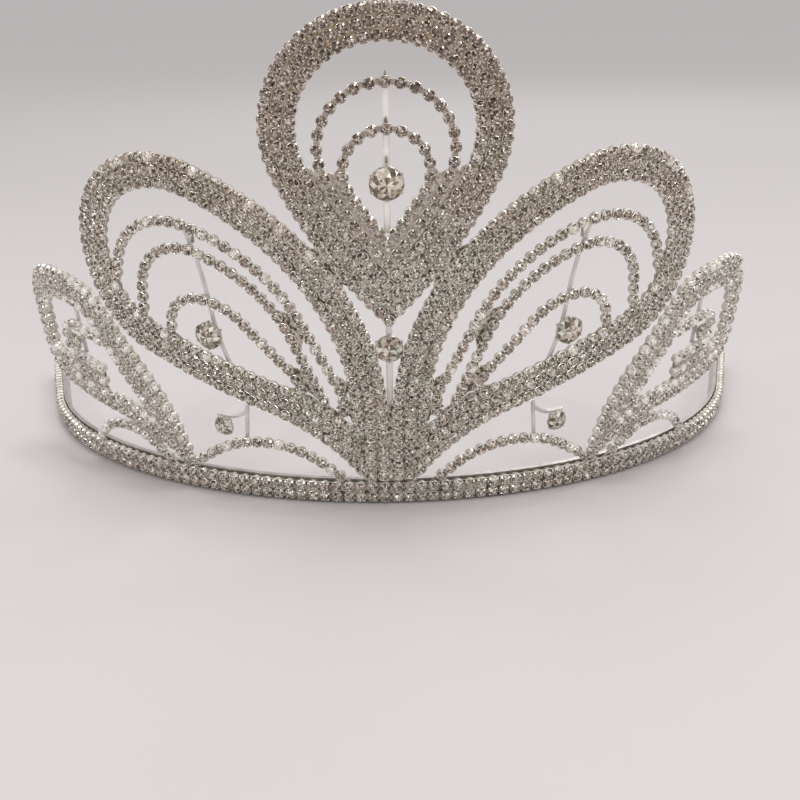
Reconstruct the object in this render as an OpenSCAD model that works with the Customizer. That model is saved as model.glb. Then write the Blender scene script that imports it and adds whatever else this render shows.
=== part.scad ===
// Pageant crown: rows of small rhinestone chain shaped as petals on a flared, springy metal band.
// Millimetres, +Z up, the front faces -Y, the band rests on z = 0, origin under the strip's front.
// The ornament is drawn in a flat pattern (x sideways, y up from the band's foot) and bent onto
// the flared band without stretching it. Lengths in the tables are for an ornament 98.9 high.

/* [Band] */
// width across the round part of the band, at its foot
band_width = 160; // [140:5:180]
// outward lean of the band and everything on it, in degrees
flare = 11; // [10.5:0.1:11.5]
// half angle of the round part, the straight ends follow
wrap = 76; // [74:1:80]
// length of each straight end
end_length = 31; // [26:1:34]
// height of the band
band_height = 5; // [4.6:0.1:5.2]
// thickness of the metal strip
strip = 0.8; // [0.6:0.1:1]

/* [Ornament] */
// length up the slope from the band's foot to the top of the centre petal
ornament_height = 98.9; // [90:0.1:108]

/* [Chain] */
// width of one row of stones
row = 2.4; // [2.36:0.01:2.42]
// depth of a row from its back to the stones' tops
depth = 2; // [1.8:0.1:2.2]
// clear gap between neighbouring pieces
gap = 0.16; // [0.12:0.01:0.2]

/* [Large stones] */
// diameter of the stone in the centre petal
centre_stone_d = 6.4; // [5.8:0.1:6.6]
// diameter of the stone under the centre petal
pendant_stone_d = 5.4; // [5:0.1:5.6]
// diameter of the stones in the big petals
petal_stone_d = 5.6; // [5:0.1:6]
// diameter of the stones above the front arches
arch_stone_d = 4; // [3.6:0.1:4.2]
// diameter of the stones in the side petals
side_stone_d = 3.2; // [3:0.1:3.4]
// width of the flat stems and wires that carry the settings
wire = 1.4; // [1.1:0.1:1.6]

/* [Hidden] */
$fa = 8;
$fs = 0.25;
unit = ornament_height / 98.9;
cone = band_width / 2 / sin(flare);
fold = wrap * sin(flare);
chain = row * unit;
thick = depth * unit;
foot = band_height + gap;
wire_in = gap + 0.9 * unit;
// distance from the origin back to the axis of the round band
back = band_width / 2 - (gap + strip / 2) / cos(flare);

silver = [0.78, 0.77, 0.76];
pave = [0.62, 0.58, 0.54];
clear = [0.9, 0.92, 0.95];

// a point of the flat pattern, w outwards from the chains' backs
function turned(p) = sign(p[0]) * min(atan2(abs(p[0]), cone + p[1]), fold) / sin(flare);
function beyond(p) = sign(p[0]) * max(atan2(abs(p[0]), cone + p[1]) - fold, 0);
function outward(t) = [cos(flare) * sin(t), -cos(flare) * cos(t), -sin(flare)];
function upward(t) = [sin(flare) * sin(t), -sin(flare) * cos(t), cos(flare)];
function along(t) = [cos(t), sin(t), 0];
function bend(p, w = 0) =
    let (r = norm([p[0], cone + p[1]]), t = turned(p), e = beyond(p))
    r * cos(e) * upward(t) + r * sin(e) * along(t) + w * outward(t) + [0, back, -cone * cos(flare)];
function height(p) = norm([p[0], cone + p[1]]) - cone;
function on_foot(p) = height(p) >= foot ? p
    : [p[0], cone + p[1]] * (cone + foot) / (cone + height(p)) - [0, cone];

// a path is a start [x, y, heading] and bends [radius, turn], or [0, length] for a straight;
// a turn is negative clockwise, and offsets d count to the right of the way
function step(s, b, f = 1) = b[0] == 0
    ? [s[0] + b[1] * f * cos(s[2]), s[1] + b[1] * f * sin(s[2]), s[2]]
    : let (c = sign(b[1]) * b[0], h = s[2] + b[1] * f)
      [s[0] + c * (sin(h) - sin(s[2])), s[1] - c * (cos(h) - cos(s[2])), h];
function walk(s, bends, i = 0) = i == len(bends) ? [s]
    : concat([s], walk(step(s, bends[i]), bends, i + 1));
function sized(b) = b[0] == 0 ? [0, b[1] * unit] : [b[0] * unit, b[1]];
function path(start, bends) =
    let (s = [start[0] * unit, start[1] * unit, start[2]], b = [for (q = bends) sized(q)])
    [walk(s, b), b];
function at(p, u, d = 0) =
    let (i = min(floor(u), len(p[1]) - 1), s = step(p[0][i], p[1][i], u - i))
    [s[0] + d * sin(s[2]), s[1] - d * cos(s[2])];
function from_centre(s, b, q) =
    let (c = sign(b[1]) * b[0]) [q[0] - s[0] + c * sin(s[2]), q[1] - s[1] - c * cos(s[2])];
// how far q lies to the right of bend i
function side_of(p, i, q) = let (s = p[0][i], b = p[1][i]) b[0] == 0
    ? (q[0] - s[0]) * sin(s[2]) - (q[1] - s[1]) * cos(s[2])
    : -sign(b[1]) * (b[0] - norm(from_centre(s, b, q)));
// where q lies along the first bend, 0 at its start and 1 at its end
function share(p, q) = let (s = p[0][0], b = p[1][0]) b[0] == 0
    ? ((q[0] - s[0]) * cos(s[2]) + (q[1] - s[1]) * sin(s[2])) / b[1]
    : let (v = sign(b[1]) * from_centre(s, b, q), h = atan2(v[0], -v[1]) - s[2])
      (h - 360 * round(h / 360)) / b[1];
function root(f, a, b, n = 32) = let (m = (a + b) / 2) n == 0 ? m
    : f(m) * f(a) > 0 ? root(f, m, b, n - 1) : root(f, a, m, n - 1);
function crossing(f, a, b, k = 0.05) = a + k >= b ? b
    : f(a) > 0 && f(a + k) <= 0 ? root(f, a, a + k) : crossing(f, a + k, b, k);

// stops along a path: one about every 9 degrees or 5 mm
function stops(p) = [for (i = [0 : len(p[1]) - 1])
    let (b = p[1][i], n = b[0] == 0 ? ceil(abs(b[1]) / 5 / unit)
        : max(ceil(abs(b[1]) / 9), ceil(b[0] * abs(b[1]) * 0.01745 / 5 / unit)))
    for (j = [0 : n - 1]) i + j / n];

// section of n rows side by side: [offset, w]
function section(n) = concat(
    [[0, 0], [0, 0.5]],
    n == 1 ? [[0.28, 1], [0.72, 1]]
        : [for (k = [0 : n - 1]) each concat([[k + 0.5, 1]], k < n - 1 ? [[k + 1, 0.62]] : [])],
    [[n, 0.5], [n, 0]]);

// skin over rings of points; open ones get flat ends
module skin(rings, closed) {
    n = len(rings);
    m = len(rings[0]);
    last = closed ? n : n - 1;
    faces = concat(
        [for (i = [0 : last - 1], j = [0 : m - 1])
            let (a = i * m, b = (i + 1) % n * m, k = (j + 1) % m)
            each [[a + j, b + j, b + k], [a + j, b + k, a + k]]],
        closed ? [] : [for (j = [1 : m - 2]) each [[0, j, j + 1],
            [(n - 1) * m, (n - 1) * m + j + 1, (n - 1) * m + j]]]);
    polyhedron([for (r = rings) each r], faces, convexity = 6);
}

// rows side by side whose two ends meet in a mitre
module closed_rows(p, n) {
    cols = section(n);
    size = len(p[1]);
    cuts = [for (c = cols)
        let (d = c[0] * chain,
             u1 = crossing(function (u) side_of(p, 0, at(p, u, d)) - d, max(1.1, size - 2.5), size),
             q = at(p, u1, d))
        [share(p, q), u1, q, d]];
    marks = stops(p);
    skin([for (u = marks) [for (j = [0 : len(cols) - 1])
        let (c = cuts[j], q = u <= c[0] + 0.02 || u >= c[1] - 0.02 ? c[2] : at(p, u, c[3]))
        bend(on_foot(q), cols[j][1] * thick)]], true);
}

// a row at offset d0 that stands on something: the limits are zero where its ends are
module standing_row(p, limit0, limit1, d0 = 0) {
    cols = section(1);
    size = len(p[1]);
    cuts = [for (c = cols) let (d = d0 + c[0] * chain)
        [root(function (u) limit0(at(p, u, d)), 0, 1),
         root(function (u) limit1(at(p, u, d)), size - 1, size), d]];
    low = max([for (c = cuts) c[0]]);
    high = min([for (c = cuts) c[1]]);
    marks = [for (u = stops(p)) if (u > low + 0.02 && u < high - 0.02) u];
    rings = concat(
        [[for (c = cuts) at(p, c[0], c[2])]],
        [for (u = marks) [for (c = cuts) at(p, u, c[2])]],
        [[for (c = cuts) at(p, c[1], c[2])]]);
    skin([for (r = rings) [for (j = [0 : len(cols) - 1])
        bend(on_foot(r[j]), cols[j][1] * thick)]], false);
}

// an upside-down drop: tip height, length, radius of the round top, radius of the sides
function drop(tip, long, round_r, side_r) =
    let (k = long - round_r, f = side_r - round_r, b = (k * k + side_r * side_r - f * f) / 2 / k,
         a = sqrt(side_r * side_r - b * b), lean = acos(a / side_r), rise = lean - acos(a / f),
         top = 90 + lean - rise)
    path([0, tip, 90 + lean], [[side_r, -rise], [round_r, -2 * top], [side_r, -rise - 4]]);

//                        tip   length  top    sides
centre_outer = drop(     38.5,  60.4,  22.65,  115);
centre_1 = drop(         49.6,  36.6,  13.3,   72);
centre_2 = drop(         53.9,  24,    8.9,    80);

// big petal and its loops; the first loop starts one gap beside the petal's three rows
petal_x = 0.17;
petal = path([petal_x, 6.5, 90],
    [[0, 12.2], [52.9, -71.5], [21.6, -180], [0, 27.7], [36.3, 34], [0, 12]]);
petal_1 = path([petal_x + 7.48, 14, 90], [[0, 8.5], [8, -27], [0, 15], [34.5, -50], [15, -91], [0, 12]]);
petal_2 = path([9.2, 18, 66], [[0, 19.6], [29.5, -51], [11.3, -101], [0, 14]]);
petal_3 = path([12.3, 18, 66], [[0, 8.7], [14, -20], [0, 12], [14, -46], [7.6, -88], [0, 12]]);

// side petal; its first loop stands on its lower arm and runs beside its two rows, the second
// stands on the first, and both end in the open below
side_petal = path([40.8, 3.5, 78],
    [[40, -31], [0, 17], [10, -40], [40, -20], [12, -82], [0, 6.5], [9, -84], [0, 20], [36, 30], [0, 14]]);
side_1 = [side_petal[0], [for (i = [0 : 7]) side_petal[1][i]]];
side_2 = path([60, 25.6, 12], [[0, 6], [25, -20], [4.7, -171], [0, 12]]);
side_loops_end = 64;

// low arches on the band
front_arch = path([7.38, 4.9, 46], [[0, 3.2], [20.2, -82], [0, 10]]);
rear_arch = path([45.15, 1.92, 55], [[15.2, -65], [15.2, -65]]);

function on_band(q) = height(q) - foot;
function in_petal(q, i) = side_of(petal, i, q) - 3 * chain - gap;
function by_side(q) = side_of(side_petal, 0, q) + gap;
function on_arm(q) = side_of(side_petal, 8, q) - 2 * chain - gap;
function in_side_loop(q) = side_of(side_petal, 1, q) - 3 * chain - 0.3 * unit - gap;
function loop_end(q) = q[0] - side_loops_end * unit;

// a profile at x = radius, run round the front and on straight at both ends
module turn_band() translate([0, back, 0]) {
    rotate([0, 0, -90 - wrap]) rotate_extrude(angle = 2 * wrap, $fn = 360) children();
    for (s = [-1, 1])
        rotate([0, 0, -90 + s * wrap]) rotate([90, 0, 0])
            translate([0, 0, s > 0 ? -end_length : 0])
                linear_extrude(end_length) children();
}

// outline of the band between two offsets from the cone and two heights up its slope
module slope(points) {
    polygon([for (p = points)
        [band_width / 2 + p[1] * sin(flare) + p[0] * cos(flare), p[1] * cos(flare) - p[0] * sin(flare)]]);
}

module band_strip() color(silver) {
    b = -gap - strip;
    turn_band() slope([[b, b * tan(flare)], [-gap, -gap * tan(flare)],
        [-gap, band_height], [b, band_height]]);
}

module band_rows() color(pave) {
    h = band_height;
    e = thick * tan(flare) + 0.05;
    turn_band() slope([[0, 0.02], [0.5 * thick, 0.5 * thick * tan(flare) + 0.02],
        [thick, e + (h - e) * 0.25], [0.62 * thick, e + (h - e) * 0.48],
        [thick, e + (h - e) * 0.75], [0.5 * thick, h], [0, h]]);
}

module flat_place(p, w = 0) {
    t = turned(p);
    o = bend(p, w);
    a = along(t);
    g = upward(t);
    n = outward(t);
    multmatrix([[a[0], g[0], n[0], o[0]], [a[1], g[1], n[1], o[1]], [a[2], g[2], n[2], o[2]]]) children();
}

// stone on its girdle at z = 0
module stone(d) {
    r = d / 2 * unit;
    rotate_extrude($fn = 12) polygon([[0, -0.62 * r], [0.12 * r, -0.62 * r], [r, -0.1 * r],
        [r, 0], [0.62 * r, 0.28 * r], [0, 0.28 * r]]);
}

// cup and prongs round a stone of that size
module cup(d, prongs) {
    r = d / 2 * unit;
    low = -0.62 * r - gap - 0.35 * unit;
    difference() {
        translate([0, 0, low]) cylinder(h = -0.1 * r - low - gap, r1 = 0.55 * r, r2 = r + gap + 0.25 * unit);
        translate([0, 0, -0.62 * r - gap]) cylinder(h = 0.62 * r + gap, r1 = 0.12 * r, r2 = 1.17 * r + 1.7 * gap);
    }
    for (i = [0 : prongs - 1]) rotate([0, 0, (i + 0.5) * 360 / prongs]) {
        x = r + gap + 0.36 * unit;
        translate([x, 0, low * 0.5]) cylinder(h = 0.45 * unit - low * 0.5, r = 0.36 * unit);
        translate([x - 0.1 * unit, 0, 0.55 * unit]) sphere(r = 0.42 * unit);
    }
}

// wire behind the chains along a path
module flat_wire(p, w0, w1) {
    marks = concat(stops(p), [len(p[1])]);
    h = wire * unit / 2;
    skin([for (u = marks) [bend(at(p, u, -h), w0), bend(at(p, u, -h), w1),
        bend(at(p, u, h), w1), bend(at(p, u, h), w0)]], false);
}

// height of a stone's girdle over the chains' backs
function seat(d) = gap + (0.62 * d / 2 + 0.35) * unit;

module setting(at_p, d, prongs, lift = 0) {
    flat_place(at_p * unit, seat(d) - gap * 2 + lift * unit) cup(d, prongs);
    r = d / 2 * unit;
    flat_place(at_p * unit, -wire_in) cylinder(h = wire_in - gap + lift * unit, r = 0.5 * r);
}
module seated_stone(at_p, d, lift = 0)
    flat_place(at_p * unit, seat(d) - gap * 2 + lift * unit) stone(d);

centre_at = [0, 67.1];
pendant_at = [0, 35.3];
pendant_lift = 1.3;
petal_at = [34.6, 34.7];
arch_at = [33.2, 14.8];
side_at = [73.2, 22.4];

module straight_stem(y0, y1) {
    flat_place([0, y0 * unit], -wire_in)
        translate([-wire * unit / 2, 0, 0]) cube([wire * unit, (y1 - y0) * unit, wire_in - gap]);
}

module centre_petal() color(pave) closed_rows(centre_outer, 3);
module centre_loop_1() color(pave) closed_rows(centre_1, 1);
module centre_loop_2() color(pave) closed_rows(centre_2, 1);
module right_petal() color(pave) closed_rows(petal, 3);
module right_petal_loop_1() color(pave)
    standing_row(petal_1, function (q) in_petal(q, 4), function (q) in_petal(q, 2));
module right_petal_loop_2() color(pave)
    standing_row(petal_2, function (q) in_petal(q, 4), function (q) in_petal(q, 2));
module right_petal_loop_3() color(pave)
    standing_row(petal_3, function (q) in_petal(q, 4), function (q) in_petal(q, 3));
module right_side_petal() color(pave) closed_rows(side_petal, 2);
module right_side_loop_1() color(pave) standing_row(side_1,
    function (q) on_arm(q), function (q) loop_end(q), 2 * chain + 0.3 * unit);
module right_side_loop_2() color(pave)
    standing_row(side_2, function (q) in_side_loop(q), function (q) loop_end(q));
module right_front_arch() color(pave)
    standing_row(front_arch, function (q) on_band(q), function (q) by_side(q));
module right_rear_arch() color(pave)
    standing_row(rear_arch, function (q) on_band(q), function (q) on_band(q));

module centre_setting() color(silver) {
    setting(centre_at, centre_stone_d, 6);
    straight_stem(57, 85);
}
module pendant_setting() color(silver) {
    setting(pendant_at, pendant_stone_d, 6, pendant_lift);
    straight_stem(15, 41);
}
module right_petal_setting() color(silver) {
    setting(petal_at, petal_stone_d, 6);
    flat_wire(path([31.7, 28, 66], [[45, 16], [60, -17]]), -wire_in, -gap);
}
module right_arch_setting() color(silver) {
    setting(arch_at, arch_stone_d, 4);
    flat_wire(path([28.7, 19.6, -86], [[0, 8.4]]), -wire_in, -gap);
    flat_wire(path([28.7, 18.6, -60], [[5, 60], [0, 2.5]]), 0.1 * unit - wire_in, -gap - 0.1 * unit);
}
module right_side_setting() color(silver) {
    setting(side_at, side_stone_d, 4);
    flat_wire(path([74.7, 33, -98], [[0, 14]]), -wire_in, -gap);
}
module centre_stone() color(clear) seated_stone(centre_at, centre_stone_d);
module pendant_stone() color(clear) seated_stone(pendant_at, pendant_stone_d, pendant_lift);
module right_petal_stone() color(clear) seated_stone(petal_at, petal_stone_d);
module right_arch_stone() color(clear) seated_stone(arch_at, arch_stone_d);
module right_side_stone() color(clear) seated_stone(side_at, side_stone_d);

module flip() mirror([1, 0, 0]) children();
module left_petal() flip() right_petal();
module left_petal_loop_1() flip() right_petal_loop_1();
module left_petal_loop_2() flip() right_petal_loop_2();
module left_petal_loop_3() flip() right_petal_loop_3();
module left_side_petal() flip() right_side_petal();
module left_side_loop_1() flip() right_side_loop_1();
module left_side_loop_2() flip() right_side_loop_2();
module left_front_arch() flip() right_front_arch();
module left_rear_arch() flip() right_rear_arch();
module left_petal_setting() flip() right_petal_setting();
module left_arch_setting() flip() right_arch_setting();
module left_side_setting() flip() right_side_setting();
module left_petal_stone() flip() right_petal_stone();
module left_arch_stone() flip() right_arch_stone();
module left_side_stone() flip() right_side_stone();

band_strip();
band_rows();
centre_petal();
centre_loop_1();
centre_loop_2();
right_petal();
right_petal_loop_1();
right_petal_loop_2();
right_petal_loop_3();
left_petal();
left_petal_loop_1();
left_petal_loop_2();
left_petal_loop_3();
right_side_petal();
right_side_loop_1();
right_side_loop_2();
left_side_petal();
left_side_loop_1();
left_side_loop_2();
right_front_arch();
right_rear_arch();
left_front_arch();
left_rear_arch();
centre_setting();
pendant_setting();
right_petal_setting();
left_petal_setting();
right_arch_setting();
left_arch_setting();
right_side_setting();
left_side_setting();
centre_stone();
pendant_stone();
right_petal_stone();
left_petal_stone();
right_arch_stone();
left_arch_stone();
right_side_stone();
left_side_stone();
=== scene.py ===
import math
import random

import bpy
import numpy as np
from mathutils import Matrix, Vector


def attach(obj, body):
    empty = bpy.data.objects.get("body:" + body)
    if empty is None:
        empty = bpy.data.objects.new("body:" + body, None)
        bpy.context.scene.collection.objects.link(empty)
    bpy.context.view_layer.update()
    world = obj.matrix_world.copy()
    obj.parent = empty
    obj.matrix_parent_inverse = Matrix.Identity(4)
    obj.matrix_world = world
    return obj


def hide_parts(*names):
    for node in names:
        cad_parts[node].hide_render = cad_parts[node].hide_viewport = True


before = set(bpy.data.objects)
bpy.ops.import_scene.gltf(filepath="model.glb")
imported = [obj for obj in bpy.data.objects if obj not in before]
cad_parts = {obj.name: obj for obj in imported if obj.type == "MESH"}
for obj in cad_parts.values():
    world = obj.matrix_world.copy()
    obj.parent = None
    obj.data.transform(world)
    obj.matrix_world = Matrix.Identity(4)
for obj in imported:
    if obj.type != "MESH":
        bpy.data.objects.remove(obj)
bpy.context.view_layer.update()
mm = 0.001
print("frame loaded:", len(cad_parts), "nodes")


# camera, at the photograph's height and distance

cameraSettings = {
    "eye": (0, -0.2553, 0.1023),
    "target": (0, 0.0794, 0),
    "lens": 61.74,
    "shift": (0.0128, -0.0208),
    "lean": math.radians(-0.9),  # the picture is tipped by about a degree
}


def makeCamera(settings):
    data = bpy.data.cameras.new("camera")
    camera = bpy.data.objects.new("camera", data)
    bpy.context.collection.objects.link(camera)
    data.lens = settings["lens"]
    data.sensor_width = 36
    data.shift_x, data.shift_y = settings["shift"]
    data.clip_start = 0.01
    data.clip_end = 50
    eye = Vector(settings["eye"])
    aim = (Vector(settings["target"]) - eye).to_track_quat("-Z", "Y")
    turn = aim.to_matrix() @ Matrix.Rotation(settings["lean"], 3, "Z")
    camera.matrix_world = Matrix.Translation(eye) @ turn.to_4x4()
    bpy.context.scene.camera = camera


makeCamera(cameraSettings)


# shader maths


# a node's output that can be added, multiplied and so on
class Wire:
    def __init__(self, finish, socket):
        self.finish = finish
        self.socket = socket

    def maths(self, operation, first, second):
        return self.finish.add("ShaderNodeMath", {"operation": operation}, {0: first, 1: second})

    def __add__(self, other):
        return self.maths("ADD", self, other)

    def __radd__(self, other):
        return self.maths("ADD", other, self)

    def __sub__(self, other):
        return self.maths("SUBTRACT", self, other)

    def __mul__(self, other):
        return self.maths("MULTIPLY", self, other)

    # this colour with a share of another over it
    def over(self, other, share):
        return self.finish.add("ShaderNodeMix", {"data_type": "RGBA"}, {0: share, 6: self, 7: other}, 2)


# a material whose nodes are added one by one
class Finish:
    def __init__(self, name, **values):
        self.material = bpy.data.materials.new(name)
        self.material.use_nodes = True
        self.nodes = self.material.node_tree.nodes
        self.links = self.material.node_tree.links
        self.shader = next(n for n in self.nodes if n.type == "BSDF_PRINCIPLED")
        for socket, value in values.items():
            self.shader.inputs[socket.replace("_", " ")].default_value = value

    def add(self, kind, settings=None, sockets=None, output=0):
        node = self.nodes.new(kind)
        for key, value in (settings or {}).items():
            if key == "stops":
                self.setStops(node.color_ramp, value)
            else:
                setattr(node, key, value)
        for key, value in (sockets or {}).items():
            self.feed(node.inputs[key], value)
        return Wire(self, node.outputs[output])

    def setStops(self, ramp, stops):
        while len(ramp.elements) < len(stops):
            ramp.elements.new(0.5)
        for element, (place, colour) in zip(ramp.elements, stops):
            element.position = place
            element.color = (*colour, 1)

    def feed(self, socket, value):
        if isinstance(value, Wire):
            self.links.new(value.socket, socket)
        elif isinstance(value, tuple) and len(value) == 3 and socket.type == "RGBA":
            socket.default_value = (*value, 1)
        else:
            socket.default_value = value

    def give(self, **values):
        for socket, value in values.items():
            self.feed(self.shader.inputs[socket.replace("_", " ")], value)

    def place(self):
        return self.add("ShaderNodeTexCoord", output="Object")

    def placeInMillimetres(self):
        return self.add("ShaderNodeVectorMath", {"operation": "SCALE"},
                        {0: self.place(), "Scale": 1 / mm})

    def noise(self, scale, detail, roughness=0.5):
        return self.add("ShaderNodeTexNoise", None,
                        {"Vector": self.placeInMillimetres(), "Scale": scale, "Detail": detail,
                         "Roughness": roughness})

    # grows from nothing to a share between two places on an axis, in metres
    def ramp(self, axis, start, end, share=1.0):
        at = self.add("ShaderNodeSeparateXYZ", None, {0: self.place()}, axis)
        return self.add("ShaderNodeMapRange", {"clamp": True}, {0: at, 1: start, 2: end, 4: share})

    def bump(self, height, strength, distance):
        return self.add("ShaderNodeBump", None,
                        {"Height": height, "Strength": strength, "Distance": distance})


# the ornament is warmer towards its top: metal turns brown, stones take their warm tint, and
# stones are painted darker there, as painted shade
topTintAndShade = {"from": 0.05, "to": 0.09, "brown": (0.42, 0.29, 0.19), "stones": 0.22}


def towardsTop(finish, share):
    return finish.ramp("Z", topTintAndShade["from"], topTintAndShade["to"], share)


# silver with soft clouds; spots are smaller dark and light marks on faces whose spark is 1, and
# warm is how brown it gets at the top
def makeSilver(name, dark, light, metal, rough, grain, cloudScale=0.35, spots=None, warm=0.0):
    finish = Finish(name, Metallic=metal)
    cloud = finish.noise(cloudScale, 4)
    fine = finish.noise(grain, 5, 0.65)
    colour = finish.add("ShaderNodeValToRGB", {"stops": [(0.34, dark), (0.66, light)]}, {0: cloud})
    if spots:
        stops = [(0.5 - spots["blur"], spots["dark"]), (0.5 + spots["blur"], spots["light"])]
        blotches = finish.noise(spots["scale"], 4)
        spotted = finish.add("ShaderNodeValToRGB", {"stops": stops}, {0: blotches})
        front = finish.add("ShaderNodeAttribute", {"attribute_name": "spark"}, output="Fac")
        colour = colour.over(spotted, front)
    if warm:
        colour = colour.over(topTintAndShade["brown"], towardsTop(finish, warm))
    finish.give(
        Base_Color=colour,
        Roughness=rough + (fine - 0.5) * 0.3,
        Normal=finish.bump(fine, 0.25, 0.00003))
    return finish.material


# each facet has its own painted brightness, standing in for the light and dark it reflects, broken
# up by small cells; the tint drifts between two and is warmer towards the top of the ornament
def makeCrystal(name, settings):
    finish = Finish(name, Metallic=settings["metal"], Coat_Weight=settings["coat"], Coat_Roughness=0.08)
    spark = finish.add("ShaderNodeAttribute", {"attribute_name": "spark"}, output="Fac")
    cells = finish.add("ShaderNodeTexVoronoi", {"feature": "F1"},
                       {"Vector": finish.placeInMillimetres(), "Scale": settings["cells"]}, "Color")
    warmthAndShade = towardsTop(finish, topTintAndShade["stones"])
    # stones are painted darker towards the top, as painted shade
    shade = spark + (cells - 0.5) * settings["speckle"] - warmthAndShade * settings["topShade"]
    drift = finish.noise(settings["drift"], 2)
    warm, cool = [finish.add("ShaderNodeValToRGB", {"stops": settings[tint]}, {0: shade})
                  for tint in ("warm", "cool")]
    # the drift lies near the middle, so the tints change over between 0.4 and 0.6
    share = finish.add("ShaderNodeMapRange", {"clamp": True}, {0: drift - warmthAndShade, 1: 0.4, 2: 0.6})
    finish.give(
        Base_Color=warm.over(cool, share),
        Roughness=settings["rough"] + shade * 0.1)
    return finish.material


# each ramp turns a facet's painted reflection into a colour, in the stones' own tint
rhinestoneGlass = {
    "metal": 0.3, "rough": 0.2, "coat": 0.5, "cells": 2.8, "speckle": 0.6, "drift": 0.12,
    "topShade": 0.9,
    "warm": [(0.0, (0.06, 0.04, 0.03)), (0.25, (0.19, 0.14, 0.11)), (0.5, (0.43, 0.35, 0.29)),
             (0.75, (0.68, 0.6, 0.53)), (1.0, (0.98, 0.95, 0.9))],
    "cool": [(0.0, (0.055, 0.05, 0.035)), (0.25, (0.165, 0.15, 0.11)), (0.5, (0.385, 0.36, 0.29)),
             (0.75, (0.66, 0.63, 0.55)), (1.0, (0.98, 0.96, 0.9))],
}
# a paler, flatter copy of the stones for the side pieces, painted light where side light and haze wash
# them out
paintedLightGlass = {
    **rhinestoneGlass, "speckle": 0.3,
    "warm": [(0.0, (0.13, 0.105, 0.085)), (0.25, (0.28, 0.235, 0.195)), (0.5, (0.5, 0.435, 0.375)),
             (0.75, (0.72, 0.665, 0.595)), (1.0, (0.99, 0.97, 0.93))],
}
clearGlass = {
    "metal": 0.25, "rough": 0.12, "coat": 0.5, "cells": 1.7, "speckle": 0.34, "drift": 0.3,
    "topShade": 0.0,
    "warm": [(0.0, (0.09, 0.065, 0.045)), (0.25, (0.26, 0.19, 0.13)), (0.5, (0.52, 0.43, 0.34)),
             (0.75, (0.74, 0.68, 0.59)), (1.0, (0.93, 0.9, 0.84))],
    "cool": [(0.0, (0.06, 0.065, 0.045)), (0.25, (0.2, 0.2, 0.14)), (0.5, (0.44, 0.43, 0.35)),
             (0.75, (0.72, 0.7, 0.63)), (1.0, (0.93, 0.92, 0.87))],
}
# spots on the front faces of cups and plates: their tones, how soft and how fine they are
cupSpots = {"dark": (0.15, 0.12, 0.085), "light": (0.76, 0.71, 0.62), "blur": 0.07, "scale": 1.3}
# the side pieces' spots are paler, as painted light
paintedLightSpots = {"dark": (0.34, 0.3, 0.25), "light": (0.82, 0.78, 0.71), "blur": 0.1, "scale": 1.3}
# the plates' spots run darker than the cups': painted shade between the stones
plateSpots = {"dark": (0.09, 0.07, 0.045), "light": (0.62, 0.565, 0.475), "blur": 0.07, "scale": 1.3}
# name, dark and light tone, metal, roughness, and how fine the grain and the clouds are
finishes = {
    "cup": makeSilver("cup_silver", (0.36, 0.32, 0.27), (0.6, 0.555, 0.49), 0.5, 0.3, 9, warm=0.5,
                      spots=cupSpots),
    # the side pieces' cup and claw silver are paler copies, painted light
    "cupPaintedLight": makeSilver("cup_silver_painted_light", (0.48, 0.44, 0.38), (0.72, 0.68, 0.61), 0.4, 0.34, 9,
                          spots=paintedLightSpots),
    # claw and rim silver is painted lighter than the cups: painted highlights on the metal
    "claw": makeSilver("claw_silver", (0.72, 0.69, 0.62), (0.96, 0.94, 0.88), 0.7, 0.22, 9, warm=0.3),
    "clawPaintedLight": makeSilver("claw_silver_painted_light", (0.84, 0.81, 0.76), (0.98, 0.97, 0.94), 0.6, 0.26, 9),
    # plate silver is painted darker than the cups: painted shade between the stones
    "plate": makeSilver("plate_silver", (0.26, 0.225, 0.185), (0.5, 0.45, 0.39), 0.5, 0.4, 7, warm=0.5,
                        spots=plateSpots),
    "plateLoop": makeSilver("plate_silver_loop", (0.28, 0.24, 0.2), (0.66, 0.6, 0.53), 0.5, 0.42, 7,
                            1.8),
    # the side pieces' plate silver is a paler copy, painted light
    "platePaintedLight": makeSilver("plate_silver_painted_light", (0.32, 0.28, 0.235), (0.66, 0.61, 0.54), 0.4, 0.45, 7,
                            1.8),
    "band": makeSilver("band_silver", (0.42, 0.4, 0.37), (0.56, 0.54, 0.51), 0.8, 0.36, 4),
    "wire": makeSilver("wire_silver", (0.6, 0.585, 0.565), (0.8, 0.785, 0.765), 0.3, 0.35, 5),
    "collet": makeSilver("collet_silver", (0.26, 0.235, 0.195), (0.62, 0.58, 0.52), 0.5, 0.3, 6, 1.2),
    "stem": makeSilver("stem_silver", (0.9, 0.89, 0.86), (0.98, 0.97, 0.95), 0.1, 0.32, 5),
    "pin": makeSilver("pin_silver", (0.2, 0.18, 0.15), (0.4, 0.37, 0.32), 0.6, 0.3, 5),
    "rhinestone": makeCrystal("rhinestone", rhinestoneGlass),
    "rhinestonePale": makeCrystal("rhinestone_pale", paintedLightGlass),
    "clear": makeCrystal("clear_crystal", clearGlass),
}
print("finishes made:", len(finishes))


# meshes from arrays


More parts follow.
